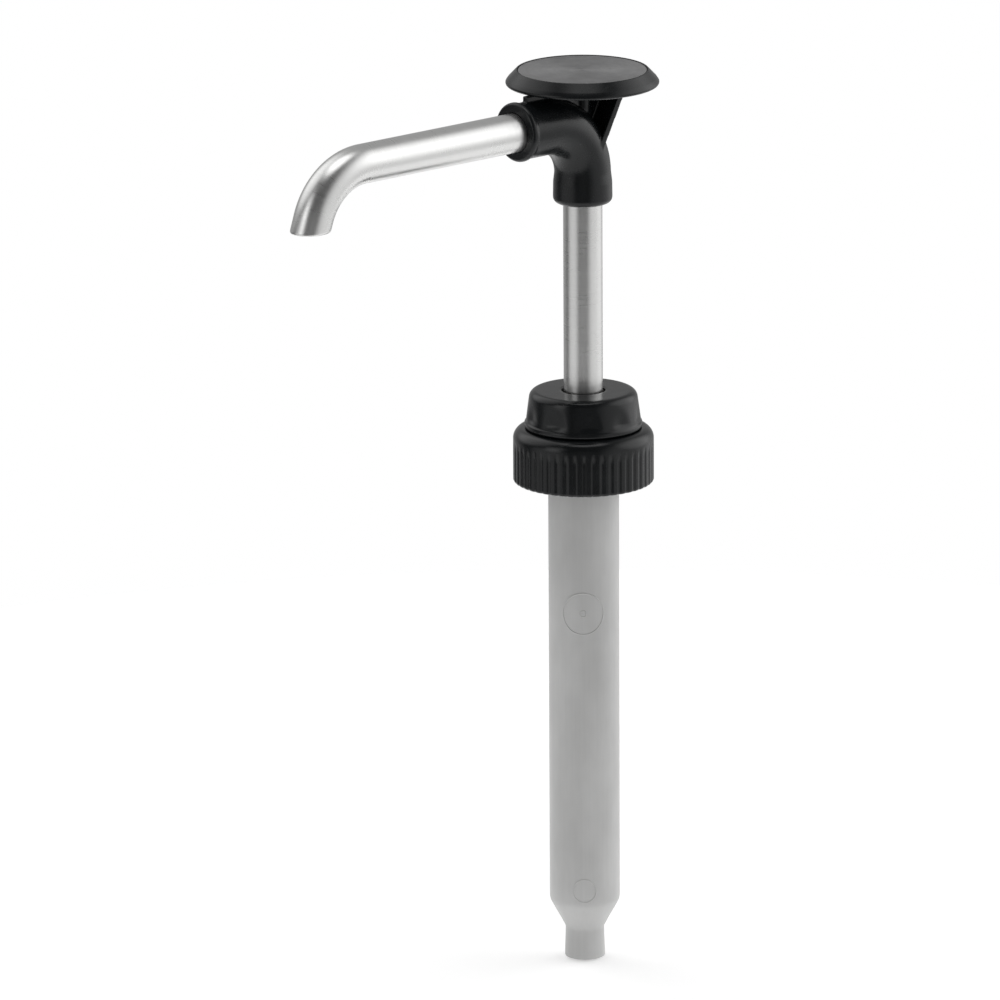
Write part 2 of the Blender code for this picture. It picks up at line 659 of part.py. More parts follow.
def piston_seals():
    """O-ring round the tube, wear ring in its groove, and the cup seal on the nose."""
    section_ring("tube_seal", SEAL_MIDDLE_R, SEAL_SECTION_R, TUBE_SEAL_Z, RUBBER)
    lip = CYLINDER_BORE_R - WIPE
    ring("piston_guide_ring", PISTON_R - RING_GROOVE_DEPTH + GAP, lip, RING_GROOVE_LOW_Z + GAP,
         RING_GROOVE_TOP_Z - GAP, NATURAL_PLASTIC)
    inner = NOSE_R + GAP
    top = NOSE_TOP_Z - GAP
    web = top - CUP_BACK_H
    tip = top - CUP_LIP_H
    foot = top - CUP_INNER_H
    cup = [(CUP_BACK_R, top), (lip - CUP_WALL, web), (lip, tip), (lip - CUP_WALL, tip - 0.2 * MM),
           (inner + CUP_WALL, web - 0.2 * MM), (inner + CUP_WALL / 2, foot), (inner, foot), (inner, top)]
    turned("piston_cup_seal", cup, RUBBER)


def seal_retainer():
    """Ring nut on the piston's nose, under the cup seal, with two spanner slots."""
    top = NOSE_TOP_Z - RETAINER_DROP
    nut = ring("seal_retainer", NOSE_R + GAP, RETAINER_R, PISTON_BOTTOM_Z, top, NATURAL_PLASTIC,
               edge=RETAINER_EDGE)
    slot_z = PISTON_BOTTOM_Z - 0.4 * MM
    reach = RETAINER_R + 2 * MM
    cut(nut, rod("retainer_slot", RETAINER_SLOT_R, (-reach, 0, slot_z), (reach, 0, slot_z), segments=12))
    return nut


WASHER_TOP_Z = PISTON_BOTTOM_Z - GAP


def spring_thrust_washer():
    """Steel ring between the piston and the spring, loose on the spring's top coil."""
    return ring("spring_thrust_washer", WASHER_HOLE_R, RETAINER_R, WASHER_TOP_Z - WASHER_T, WASHER_TOP_Z,
                STEEL, edge=0.3 * MM)


def return_spring():
    """Compression spring with closed ends, between the cage and the thrust washer."""
    low = CAGE_TOP_Z + GAP + SPRING_WIRE_R
    high = WASHER_TOP_Z - WASHER_T - GAP - SPRING_WIRE_R
    per_turn = 12
    count = SPRING_TURNS * per_turn
    end_turns = SPRING_END_TURNS
    closed_pitch = 2 * SPRING_WIRE_R + SPRING_END_GAP
    points = []
    for i in range(count + 1):
        turns = SPRING_TURNS * i / count
        from_end = min(turns, SPRING_TURNS - turns)
        closed = closed_pitch * min(from_end, end_turns)
        open_pitch = (high - low - 2 * closed_pitch * end_turns) / (SPRING_TURNS - 2 * end_turns)
        rise = closed + open_pitch * max(from_end - end_turns, 0.0)
        height = low + rise if turns <= SPRING_TURNS / 2 else high - rise
        angle = 2 * math.pi * turns
        points.append((SPRING_COIL_R * math.cos(angle), SPRING_COIL_R * math.sin(angle), height))
    return add_object("return_spring", curve_mesh("return_spring", points, SPRING_WIRE_R, 2), STEEL)


def build():
    pump_cylinder()
    inlet_ball_cage()
    ball("inlet_ball", INLET_BALL_R, INLET_BALL_Z, STEEL)
    jar_gasket()
    jar_cap()
    cylinder_nut()
    rod_guide_bushing()
    rod_seal()
    discharge_tube()
    pump_head()
    palm_disc()
    palm_pad()
    disc_screw()
    piston_body()
    outlet_ball_pin()
    ball("outlet_ball", OUTLET_BALL_R, OUTLET_BALL_Z, STEEL)
    piston_seals()
    seal_retainer()
    spring_thrust_washer()
    return_spring()


build()
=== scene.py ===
"""Looks of the condiment pump dispenser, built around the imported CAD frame.

Metres, +Z up, the pump's axis is the Z axis, the spout points toward -Y and the
jar's rim lies in the plane Z = 0.
"""

import math

import bmesh
import bpy
from mathutils import Matrix, Vector


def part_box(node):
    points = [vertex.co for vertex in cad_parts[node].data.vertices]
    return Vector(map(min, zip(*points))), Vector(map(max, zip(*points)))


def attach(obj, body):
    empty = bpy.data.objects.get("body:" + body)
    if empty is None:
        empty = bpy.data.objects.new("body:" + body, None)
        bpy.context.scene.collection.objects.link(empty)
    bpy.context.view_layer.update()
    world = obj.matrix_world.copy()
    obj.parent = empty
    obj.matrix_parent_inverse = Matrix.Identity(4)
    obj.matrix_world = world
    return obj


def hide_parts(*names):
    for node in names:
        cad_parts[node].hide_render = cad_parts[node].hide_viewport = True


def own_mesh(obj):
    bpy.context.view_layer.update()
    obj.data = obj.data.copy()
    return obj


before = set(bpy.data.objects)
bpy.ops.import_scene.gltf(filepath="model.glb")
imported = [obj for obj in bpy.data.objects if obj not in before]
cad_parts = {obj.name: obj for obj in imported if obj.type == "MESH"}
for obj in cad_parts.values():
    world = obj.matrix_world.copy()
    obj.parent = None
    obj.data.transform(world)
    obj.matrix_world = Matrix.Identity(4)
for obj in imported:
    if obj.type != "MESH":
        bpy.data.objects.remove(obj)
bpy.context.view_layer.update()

MM = 0.001
MICRON = 0.000001
TAU = 2 * math.pi

# ------------------------------------------------------------------ sizes read from the frame
TUBE_LOW, TUBE_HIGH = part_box("discharge_tube")
HEAD_LOW, HEAD_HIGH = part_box("pump_head")
DISC_LOW, DISC_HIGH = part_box("palm_disc")
PAD_LOW, PAD_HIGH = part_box("palm_pad")
NUT_LOW, NUT_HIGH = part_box("cylinder_nut")
CAP_LOW, CAP_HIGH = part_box("jar_cap")
CYLINDER_LOW, CYLINDER_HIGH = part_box("pump_cylinder")
_, GASKET_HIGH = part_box("jar_gasket")
SPRING_LOW, SPRING_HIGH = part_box("return_spring")

# ------------------------------------------------------------------ sizes shared by several pieces
TUBE_R = TUBE_HIGH.x
TUBE_WALL = 1.0 * MM
SPOUT_Z = TUBE_HIGH.z - TUBE_R      # centreline of the spout's level run
ELBOW_R = 22.0 * MM
SPOUT_LEVEL_END = 117.1 * MM
SPOUT_BEND_R = 26.8 * MM
SPOUT_END_ANGLE = math.radians(71.4)
SPOUT_OUTLET_Z = 110.4 * MM
CYLINDER_R = 14.4 * MM
FLANGE_T = 1.6 * MM                 # flange of the cylinder, between gasket and cap
CLEAR = 0.3 * MM                    # gap kept between pieces that touch


# ------------------------------------------------------------------ mesh helpers
def object_from(build, name):
    """Move a finished bmesh into an object of the scene."""
    mesh = bpy.data.meshes.new(name)
    build.to_mesh(mesh)
    build.free()
    obj = bpy.data.objects.new(name, mesh)
    bpy.context.scene.collection.objects.link(obj)
    return obj


def mesh_object(name, grid, closed_rows, uvs=None, caps=()):
    """A smooth mesh from rows of points, where each row is a closed ring.

    With closed_rows the last row joins the first. Caps lists the end rows that are closed with
    one face each. Uvs gives one (u, v) pair for each point, in metres.
    """
    rows, cols = len(grid), len(grid[0])
    build = bmesh.new()
    verts = [[build.verts.new(point) for point in row] for row in grid]
    layer = build.loops.layers.uv.new("UVMap")
    last = rows if closed_rows else rows - 1
    for i in range(last):
        below = (i + 1) % rows
        for j in range(cols):
            beside = (j + 1) % cols
            corners = ((i, j), (below, j), (below, beside), (i, beside))
            face = build.faces.new([verts[row][col] for row, col in corners])
            face.smooth = True
            if uvs:
                for loop, (row, col) in zip(face.loops, corners):
                    u, v = uvs[row][col]
                    if col == 0 and j == cols - 1:
                        u = u + TAU * TUBE_R
                    loop[layer].uv = (u, v)
    for row in caps:
        order = verts[row] if row == 0 else list(reversed(verts[row]))
        build.faces.new(order).smooth = True
    bmesh.ops.recalc_face_normals(build, faces=build.faces)
    return object_from(build, name)


def lathe(name, profile, steps, shape=None, closed=True):
    """Turn (radius, height) points about Z. Shape(angle, r, z, row) may move each point.

    A closed profile makes a ring, and an open one is capped at its two ends.
    """
    grid = []
    for row, (radius, height) in enumerate(profile):
        points = []
        for j in range(steps):
            angle = TAU * j / steps
            r, z = shape(angle, radius, height, row) if shape else (radius, height)
            points.append((r * math.cos(angle), r * math.sin(angle), z))
        grid.append(points)
    caps = () if closed else (0, len(profile) - 1)
    return mesh_object(name, grid, closed, caps=caps)


def arc(centre_r, centre_z, radius, start, end, count):
    """Points along an arc from start to end degrees, ends included."""
    points = []
    for i in range(count + 1):
        angle = math.radians(start + (end - start) * i / count)
        points.append((centre_r + radius * math.cos(angle), centre_z + radius * math.sin(angle)))
    return points


def line(start, end, count):
    """Points from start to just before end."""
    return [(start[0] + (end[0] - start[0]) * i / count, start[1] + (end[1] - start[1]) * i / count)
            for i in range(count)]


def smooth_step(low, high, value):
    """0 below low, 1 above high, and an eased rise between them."""
    t = min(max((value - low) / (high - low), 0.0), 1.0)
    return t * t * (3 - 2 * t)


def tube_centre(start_z, elbow_steps, bend_steps, front=None):
    """Centreline points with their directions: up, round the elbow, out, and down the spout's bend.

    With front given, the line stops that far out along the level run.
    """
    stem_steps, level_steps = 12, 8
    places = [(Vector((0, 0, start_z)), Vector((0, 0, 1)))]
    low = SPOUT_Z - ELBOW_R
    rise = low - start_z
    for i in range(1, stem_steps):
        places.append((Vector((0, 0, start_z + rise * i / stem_steps)), Vector((0, 0, 1))))
    for i in range(elbow_steps + 1):
        angle = 0.5 * math.pi * i / elbow_steps
        place = Vector((0, -ELBOW_R * (1 - math.cos(angle)), low + ELBOW_R * math.sin(angle)))
        places.append((place, Vector((0, -math.sin(angle), math.cos(angle)))))
    if front is not None:
        places.append((Vector((0, -front, SPOUT_Z)), Vector((0, -1, 0))))
        return places
    for i in range(1, level_steps):
        forward = ELBOW_R + (SPOUT_LEVEL_END - ELBOW_R) * i / level_steps
        places.append((Vector((0, -forward, SPOUT_Z)), Vector((0, -1, 0))))
    for i in range(bend_steps + 1):
        angle = SPOUT_END_ANGLE * i / bend_steps
        place = Vector((0, -SPOUT_LEVEL_END - SPOUT_BEND_R * math.sin(angle),
                        SPOUT_Z - SPOUT_BEND_R * (1 - math.cos(angle))))
        places.append((place, Vector((0, -math.cos(angle), -math.sin(angle)))))
    return places


def ring_round(place, direction, radius, sides):
    """One ring of points square to a direction that lies in the plane X = 0."""
    side = Vector((1, 0, 0))
    up = direction.cross(side)
    return [place + radius * (math.cos(TAU * j / sides) * side + math.sin(TAU * j / sides) * up)
            for j in range(sides)]


def cut_level(place, direction, radius, sides, height):
    """A ring slid along its own generators until it lies level at the given height."""
    points = []
    for point in ring_round(place, direction, radius, sides):
        points.append(point + direction * ((height - point.z) / direction.z))
    return points


def apply_modifiers(obj):
    """Bake the object's modifiers into its mesh."""
    graph = bpy.context.evaluated_depsgraph_get()
    mesh = bpy.data.meshes.new_from_object(obj.evaluated_get(graph))
    obj.modifiers.clear()
    obj.data = mesh


def join_objects(name, objects):
    """One object holding the meshes of several, in place."""
    build = bmesh.new()
    for obj in objects:
        obj.data.transform(obj.matrix_world)
        build.from_mesh(obj.data)
        bpy.data.objects.remove(obj)
    return object_from(build, name)


# ------------------------------------------------------------------ materials
class Nodes:
    """Adds and links the shader nodes of one material. Bump heights are in metres."""

    def __init__(self, name):
        self.material = bpy.data.materials.new(name)
        self.material.use_nodes = True
        self.tree = self.material.node_tree
        self.shader = self.tree.nodes["Principled BSDF"]

    def add(self, kind, **settings):
        """A new node, with its sockets or its own settings given by name."""
        node = self.tree.nodes.new(kind)
        for key, value in settings.items():
            if key in node.inputs:
                node.inputs[key].default_value = value
            else:
                setattr(node, key, value)
        return node

    def link(self, source, target):
        self.tree.links.new(source, target)

    def coordinates(self, stretch=(1, 1, 1), kind="Object"):
        """Object or UV coordinates, in metres, stretched along each axis."""
        coords = self.add("ShaderNodeTexCoord")
        mapping = self.add("ShaderNodeMapping")
        mapping.inputs["Scale"].default_value = stretch
        self.link(coords.outputs[kind], mapping.inputs["Vector"])
        return mapping.outputs["Vector"]

    def noise(self, vector, scale, detail=3.0, roughness=0.55):
        """Noise about the middle of 0 to 1, at a scale in features per metre."""
        node = self.add("ShaderNodeTexNoise", Scale=scale, Detail=detail, Roughness=roughness)
        self.link(vector, node.inputs["Vector"])
        return node.outputs["Fac"]

    def spread(self, value, low, high, from_low=0.3, from_high=0.7):
        """Map a noise value's usual range onto low to high."""
        node = self.add("ShaderNodeMapRange")
        node.inputs["From Min"].default_value = from_low
        node.inputs["From Max"].default_value = from_high
        node.inputs["To Min"].default_value = low
        node.inputs["To Max"].default_value = high
        self.link(value, node.inputs["Value"])
        return node.outputs["Result"]

    def ramp(self, value, *stops):
        """Colours between stops of (place, colour)."""
        node = self.add("ShaderNodeValToRGB")
        elements = node.color_ramp.elements
        while len(elements) < len(stops):
            elements.new(0.5)
        for element, (place, color) in zip(elements, stops):
            element.position = place
            element.color = (*color, 1.0)
        self.link(value, node.inputs["Fac"])
        return node.outputs["Color"]

    def multiply(self, color, shade, amount):
        """A colour darkened by another, as strongly as amount says."""
        node = self.add("ShaderNodeMix", data_type="RGBA", blend_type="MULTIPLY")
        node.inputs[0].default_value = amount
        self.link(color, node.inputs[6])
        self.link(shade, node.inputs[7])
        return node.outputs[2]

    def total(self, first, second):
        """The sum of two values."""
        node = self.add("ShaderNodeMath", operation="ADD")
        self.link(first, node.inputs[0])
        self.link(second, node.inputs[1])
        return node.outputs[0]

    def bump(self, height, distance, strength=1.0, below=None):
        """A bump of the given height, on top of another one if below is given."""
        node = self.add("ShaderNodeBump", Distance=distance, Strength=strength)
        self.link(height, node.inputs["Height"])
        if below is not None:
            self.link(below, node.inputs["Normal"])
        return node.outputs["Normal"]

    def finish(self, color=None, roughness=None, normal=None, **constants):
        """Link the given sources to the shader and set its constants."""
        for socket, value in constants.items():
            self.shader.inputs[socket.replace("_", " ")].default_value = value
        for socket, source in (("Base Color", color), ("Roughness", roughness), ("Normal", normal)):
            if source is not None:
                self.link(source, self.shader.inputs[socket])
        return self.material


def brushed_tube():
    """Satin stainless tube: fine grain round the tube, faint handling marks."""
    n = Nodes("brushed_tube")
    uv = n.coordinates(kind="UV")
    grain = n.noise(n.coordinates((60, 5200, 1), "UV"), 1.0, 4.0, 0.7)
    bands = n.noise(n.coordinates((25, 900, 1), "UV"), 1.0, 3.0, 0.6)
    cloud = n.noise(uv, 55.0, 3.0)
    color = n.ramp(grain, (0.25, (0.68, 0.68, 0.675)), (0.75, (0.76, 0.76, 0.75)))
    marks = n.ramp(cloud, (0.3, (0.93, 0.93, 0.93)), (0.7, (1.0, 1.0, 1.0)))
    color = n.multiply(color, marks, 0.35)
    roughness = n.total(n.spread(bands, 0.25, 0.32), n.spread(cloud, -0.02, 0.04))
    normal = n.bump(grain, 2 * MICRON, 0.4)
    normal = n.bump(bands, 2 * MICRON, 0.25, normal)
    return n.finish(color, roughness, normal, Metallic=1.0)


def plain_steel(name, tone=0.60):
    """Machined stainless with faint clouding."""
    n = Nodes(name)
    vector = n.coordinates()
    cloud = n.noise(vector, 420.0, 4.0)
    fine = n.noise(vector, 5200.0, 2.0)
    color = n.ramp(cloud, (0.3, (tone * 0.86,) * 3), (0.7, (tone,) * 3))
    return n.finish(color, n.spread(cloud, 0.18, 0.34), n.bump(fine, 10 * MICRON, 0.4), Metallic=1.0)


def moulded_black(name, tone, rough_low, rough_high, grain, peel):
    """Black moulded plastic: faint flow variation, moulding grain and a soft orange peel.

    Grain and peel are the heights of the two bumps.
    """
    n = Nodes(name)
    vector = n.coordinates()
    cloud = n.noise(vector, 90.0, 3.0)
    fine = n.noise(vector, 2600.0, 3.0, 0.6)
    wave = n.noise(vector, 210.0, 2.0, 0.4)
    scuff = n.noise(n.coordinates((900, 60, 260)), 1.0, 4.0, 0.65)
    dark = (tone * 0.7, tone * 0.85, tone * 0.95)
    light = (tone * 1.0, tone * 1.2, tone * 1.35)
    color = n.ramp(cloud, (0.3, dark), (0.7, light))
    roughness = n.total(n.spread(cloud, rough_low, rough_high), n.spread(scuff, 0.0, 0.07, 0.55, 0.75))
    normal = n.bump(wave, peel, 0.5)
    normal = n.bump(fine, grain, 0.6, normal)
    return n.finish(color, roughness, normal, IOR=1.5, Specular_IOR_Level=0.34)


def turned_pad():
    """Dark grey pad with fine concentric turning marks."""
    n = Nodes("turned_pad")
    coords = n.add("ShaderNodeTexCoord")
    split = n.add("ShaderNodeSeparateXYZ")
    n.link(coords.outputs["Object"], split.inputs[0])
    flat = n.add("ShaderNodeCombineXYZ")
    n.link(split.outputs["X"], flat.inputs["X"])
    n.link(split.outputs["Y"], flat.inputs["Y"])
    length = n.add("ShaderNodeVectorMath", operation="LENGTH")
    n.link(flat.outputs[0], length.inputs[0])
    radius_vector = n.add("ShaderNodeCombineXYZ")
    n.link(length.outputs["Value"], radius_vector.inputs["X"])
    outward, place = radius_vector.outputs[0], coords.outputs["Object"]
    rings = n.noise(outward, 3200.0, 3.0, 0.7)
    wide = n.noise(outward, 500.0, 2.0, 0.5)
    speck = n.noise(place, 2400.0, 3.0, 0.7)
    mottle = n.noise(place, 160.0, 3.0)
    color = n.ramp(mottle, (0.3, (0.125, 0.125, 0.127)), (0.7, (0.18, 0.18, 0.182)))
    normal = n.bump(rings, 40 * MICRON, 0.8)
    normal = n.bump(speck, 40 * MICRON, 0.7, normal)
    turned = n.add("ShaderNodeTangent", direction_type="RADIAL", axis="Z")
    n.link(turned.outputs[0], n.shader.inputs["Tangent"])
    return n.finish(color, n.spread(wide, 0.30, 0.38), normal, IOR=1.5, Anisotropic=0.9,
                    Anisotropic_Rotation=0.25, Specular_IOR_Level=0.9)


def grey_cylinder():
    """Light grey satin plastic with faint drawn streaks and flow clouds."""
    n = Nodes("grey_cylinder")
    vector = n.coordinates()
    streak = n.noise(n.coordinates((900, 900, 18)), 1.0, 3.0, 0.6)
    cloud = n.noise(n.coordinates((45, 45, 22)), 1.0, 3.0)
    fine = n.noise(vector, 2200.0, 3.0, 0.6)
    wave = n.noise(n.coordinates((240, 240, 60)), 1.0, 2.0, 0.4)
    color = n.ramp(cloud, (0.3, (0.48, 0.48, 0.475)), (0.7, (0.58, 0.58, 0.575)))
    drawn = n.ramp(streak, (0.3, (0.93, 0.93, 0.93)), (0.7, (1.0, 1.0, 1.0)))
    color = n.multiply(color, drawn, 0.5)
    normal = n.bump(wave, 300 * MICRON, 0.5)
    normal = n.bump(fine, 20 * MICRON, 0.5, normal)
    return n.finish(color, n.spread(streak, 0.36, 0.46), normal, IOR=1.5)


def natural_plastic():
    """Uncoloured white plastic of the inner parts."""
    n = Nodes("natural_plastic")
    vector = n.coordinates()
    cloud = n.noise(vector, 120.0, 3.0)
    fine = n.noise(vector, 2400.0, 3.0)
    color = n.ramp(cloud, (0.3, (0.68, 0.67, 0.62)), (0.7, (0.78, 0.77, 0.73)))
    return n.finish(color, n.spread(cloud, 0.42, 0.55), n.bump(fine, 30 * MICRON, 0.5), IOR=1.5)


def seal_rubber():
    """Black elastomer of the seals and the gasket."""
    n = Nodes("seal_rubber")
    vector = n.coordinates()
    cloud = n.noise(vector, 260.0, 4.0)
    fine = n.noise(vector, 3000.0, 3.0)
    color = n.ramp(cloud, (0.3, (0.018, 0.018, 0.018)), (0.7, (0.035, 0.035, 0.034)))
    return n.finish(color, n.spread(cloud, 0.6, 0.78), n.bump(fine, 40 * MICRON, 0.6), IOR=1.45)


def paint(obj, material):
    """Give the object one material only."""
    obj.data.materials.clear()
    obj.data.materials.append(material)


# ------------------------------------------------------------------ visible pieces
def make_tube():
    """The bent stainless tube with its bore, level-cut outlet and rounded lips."""
    sides, elbow_steps, bend_steps = 96, 40, 44
    bore = TUBE_R - TUBE_WALL
    bore_step = 2 * MM                  # run of the texture from row to row inside
    places = tube_centre(TUBE_LOW.z, elbow_steps, bend_steps)
    end, direction = places[-1]
    rows, lengths = [], []
    travelled = 0.0
    previous = places[0][0]
    for place, heading in places:
        travelled += (place - previous).length
        previous = place
        rows.append(ring_round(place, heading, TUBE_R, sides))
        lengths.append(travelled)
    drop = (end.z - SPOUT_OUTLET_Z) / abs(direction.z)
    # (up from the outlet's plane, in from the outside): a rounded outer lip, an eased inner one
    lip = ((1.3, 0.0), (0.7, 0.08), (0.3, 0.25), (0.08, 0.48),
           (0.0, 0.7), (0.0, 0.85), (0.05, 0.95), (0.2, 1.0))
    for back, inward in lip:
        back, radius = back * MM, TUBE_R - inward * MM
        rows.append(cut_level(end, direction, radius, sides, SPOUT_OUTLET_Z + back))
        lengths.append(travelled + drop + TUBE_R - radius)
    for place, heading in reversed(places):
        rows.append(ring_round(place, heading, bore, sides))
        lengths.append(lengths[-1] + bore_step)
    uvs = [[(TUBE_R * TAU * j / sides, length) for j in range(sides)] for length in lengths]
    return mesh_object("steel_tube", rows, True, uvs)


def plate_mesh(name, outline, half):
    """A flat plate square to X from an outline of (y, z) points."""
    build = bmesh.new()
    left = [build.verts.new((-half, y, z)) for y, z in outline]
    right = [build.verts.new((half, y, z)) for y, z in outline]
    build.faces.new(left)
    build.faces.new(list(reversed(right)))
    count = len(outline)
    for i in range(count):
        j = (i + 1) % count
        build.faces.new((left[i], right[i], right[j], left[j]))
    bmesh.ops.recalc_face_normals(build, faces=build.faces)
    return object_from(build, name)


def make_head():
    """The moulded head: elbow, foot, collar, web and wide rear rib, run together softly."""
    bottom, top, front = HEAD_LOW.z, HEAD_HIGH.z, -HEAD_LOW.y
    arm_r, foot_r, corner, sides = 11.45 * MM, 12.05 * MM, 2.6 * MM, 96
    inside_foot, inside_collar = 4 * MM, 2.6 * MM   # the arm's ends lie inside foot and collar
    places = tube_centre(bottom + inside_foot, 40, 0, front - inside_collar)
    elbow = mesh_object("elbow", [ring_round(place, heading, arm_r, sides) for place, heading in places],
                        False, caps=(0, len(places) - 1))

    # The foot's heights above its lower edge: where it is full width, level with the arm, and inside it.
    foot_high, blend_high, inside_high = 8 * MM, 13 * MM, 16 * MM
    profile = [(arm_r - 0.6 * MM, bottom + inside_high)]
    profile += line((arm_r, bottom + blend_high), (foot_r, bottom + foot_high), 6)
    profile += arc(foot_r - corner, bottom + corner, corner, 0, -90, 10)
    foot = lathe("foot", profile, sides, closed=False)

    collar_r, collar_t, lip, back_lip = 12.1 * MM, 2.8 * MM, 1.3 * MM, 0.5 * MM
    profile = arc(collar_r - lip, -lip, lip, 90, 0, 8)
    profile += arc(collar_r - back_lip, back_lip - collar_t, back_lip, 0, -90, 4)
    collar = lathe("collar", profile, sides, closed=False)
    collar.matrix_world = Matrix.Translation((0, -front, SPOUT_Z)) @ Matrix.Rotation(math.radians(90), 4, "X")

    # The rear rib starts at rib_y, rib_z and leans back as it rises. The web fills the space before it.
    rib_y, rib_z, rib_lean, rib_t, rib_half = -1.8 * MM, 121.6 * MM, 0.53, 3.0 * MM, 10.8 * MM
    top_y = rib_y + rib_lean * (top - rib_z)
    rib = plate_mesh("rib", [(rib_y, rib_z), (rib_y + rib_t, rib_z), (top_y + rib_t, top), (top_y, top)],
                     rib_half)
    web_front, web_half, rim_z = -31.0 * MM, 1.3 * MM, DISC_LOW.z - CLEAR
    notch_low, notch_high = -26 * MM, -24 * MM      # where the web steps up inside the knob's rim
    web = plate_mesh("web", [(top_y + rib_t / 2, top), (rib_y + rib_t / 2, rib_z + 2 * MM),
                             (-6 * MM, rib_z + 1.5 * MM), (web_front, SPOUT_Z), (web_front, rim_z),
                             (notch_low, rim_z), (notch_high, top)], web_half)
    boss_r, boss_t, post_r = 13 * MM, 1.6 * MM, 3.4 * MM
    boss = lathe("boss", [(boss_r, top), (boss_r, top - boss_t)], sides, closed=False)
    post = lathe("post", [(post_r, top - 0.4 * MM), (post_r, SPOUT_Z + 2 * MM)], 48, closed=False)
    head = join_objects("moulded_head", [elbow, foot, collar, web, rib, boss, post])

    voxel, smooth_passes, sharp_from = 0.4 * MM, 5, math.radians(40)
    remesh = head.modifiers.new("fuse", "REMESH")
    remesh.mode = "VOXEL"
    remesh.voxel_size = voxel
    remesh.adaptivity = 0.0
    remesh.use_smooth_shade = True
    smooth = head.modifiers.new("soften", "SMOOTH")
    smooth.factor = 0.5
    smooth.iterations = smooth_passes
    apply_modifiers(head)

    past = 3 * MM                       # the cutter runs out past both ends
    rings = [ring_round(place, heading, TUBE_R + CLEAR, 64)
             for place, heading in tube_centre(bottom - past, 24, 0, front + past)]
    cutter = mesh_object("bore_cutter", rings, False, caps=(0, len(rings) - 1))
    carve = head.modifiers.new("bore", "BOOLEAN")
    carve.object = cutter
    carve.operation = "DIFFERENCE"
    carve.solver = "EXACT"
    apply_modifiers(head)
    bpy.data.objects.remove(cutter)
    head.data.shade_smooth()
    head.data.set_sharp_from_angle(angle=sharp_from)
    return head


def make_disc():
    """Mushroom disc: recessed floor, thin raised rim, flared side and a hollow underside."""
    top, low, outer = DISC_HIGH.z, DISC_LOW.z, DISC_HIGH.x
    recess, floor = PAD_HIGH.x + CLEAR, PAD_LOW.z - CLEAR
    under = HEAD_HIGH.z + CLEAR
    crown_r, inner_lip, crown_lip = 27.0 * MM, 0.25 * MM, 0.5 * MM
    flare_z, edge_z, edge_lip, foot_lip = 150.6 * MM, 149.35 * MM, 1.0 * MM, 0.3 * MM
    hollow_r, screw_r, screw_head_r, screw_head_t = 26.6 * MM, 1.9 * MM, 3.6 * MM, 1.6 * MM
    profile = arc(recess + inner_lip, top - inner_lip, inner_lip, 180, 90, 4)
    profile += arc(crown_r - crown_lip, top - crown_lip, crown_lip, 90, 38, 5)
    profile += line(profile[-1], (outer - 0.55 * MM, flare_z), 10)[1:]
    profile += arc(outer - edge_lip, edge_z, edge_lip, 38, -60, 10)
    profile += arc(outer - 1.55 * MM, low + foot_lip, foot_lip, -50, -130, 4)
    profile += line((outer - 2.4 * MM, low + 0.6 * MM), (hollow_r, under), 5)
    profile += [(26.0 * MM, under), (screw_r, under), (screw_r, floor - screw_head_t), (screw_head_r, floor),
                (recess - 0.1 * MM, floor), (recess, floor + 0.1 * MM)]
    return lathe("knob_disc", profile, 256)


def make_pad():
    """Inlaid top of the knob, very slightly dished, with an eased edge."""
    top, low, outer = PAD_HIGH.z, PAD_LOW.z, PAD_HIGH.x
    dish, edge = 0.12 * MM, 0.2 * MM
    profile = [(0.4 * MM, top - dish)]
    profile += line((2 * MM, top - dish), (outer - 0.3 * MM, top), 14)
    profile += arc(outer - edge, top - edge, edge, 90, 0, 4)
    profile += [(outer, low)]
    return lathe("knob_pad", profile, 256, closed=False)


def make_cylinder():
    """Pump cylinder with flange, cone, flared nozzle and eased edges."""
    low, top, flange_r = CYLINDER_LOW.z, CYLINDER_HIGH.z, CYLINDER_HIGH.x
    flange_low = GASKET_HIGH.z + CLEAR
    flange_high = flange_low + FLANGE_T
    mouth_edge, flange_edge, tip_edge, bore_edge = 0.4 * MM, 0.3 * MM, 0.35 * MM, 0.3 * MM
    cone_top, cone_low, shoulder_r = -193.7 * MM, -205.5 * MM, 6 * MM
    shoulder_z = cone_top + 1.6 * MM
    nozzle_r, tip_r, bore_r = 7.95 * MM, 8.25 * MM, 5.5 * MM
    seat_top, seat_low = -194.5 * MM, -207.0 * MM
    cylinder_bore = 12.5 * MM
    profile = [(CYLINDER_R - mouth_edge, top), (CYLINDER_R, top - mouth_edge), (CYLINDER_R, flange_high),
               (flange_r - flange_edge, flange_high), (flange_r, flange_high - flange_edge),
               (flange_r, flange_low + flange_edge), (flange_r - flange_edge, flange_low),
               (CYLINDER_R, flange_low)]
    profile += line((CYLINDER_R, flange_low - 2 * MM), (CYLINDER_R, shoulder_z), 40)
    profile += arc(CYLINDER_R - shoulder_r, shoulder_z, shoulder_r, 0, -25, 6)
    profile += line((CYLINDER_R - 1.1 * MM, cone_top - 2.0 * MM),
                    (nozzle_r + 0.5 * MM, cone_low + 1.0 * MM), 5)
    profile += [(nozzle_r + 0.12 * MM, cone_low + 0.15 * MM), (nozzle_r, cone_low - 0.6 * MM)]
    profile += line((nozzle_r, cone_low - 1.5 * MM), (tip_r, low + 0.5 * MM), 5)
    profile += arc(tip_r - tip_edge, low + tip_edge, tip_edge, 0, -90, 4)
    profile += arc(bore_r + bore_edge, low + bore_edge, bore_edge, -90, -180, 4)
    profile += [(bore_r, seat_low), (cylinder_bore, seat_top)]
    profile += line((cylinder_bore, seat_top + 2 * MM), (cylinder_bore, top), 6) + [(cylinder_bore, top)]
    return lathe("cylinder_shell", profile, 192)


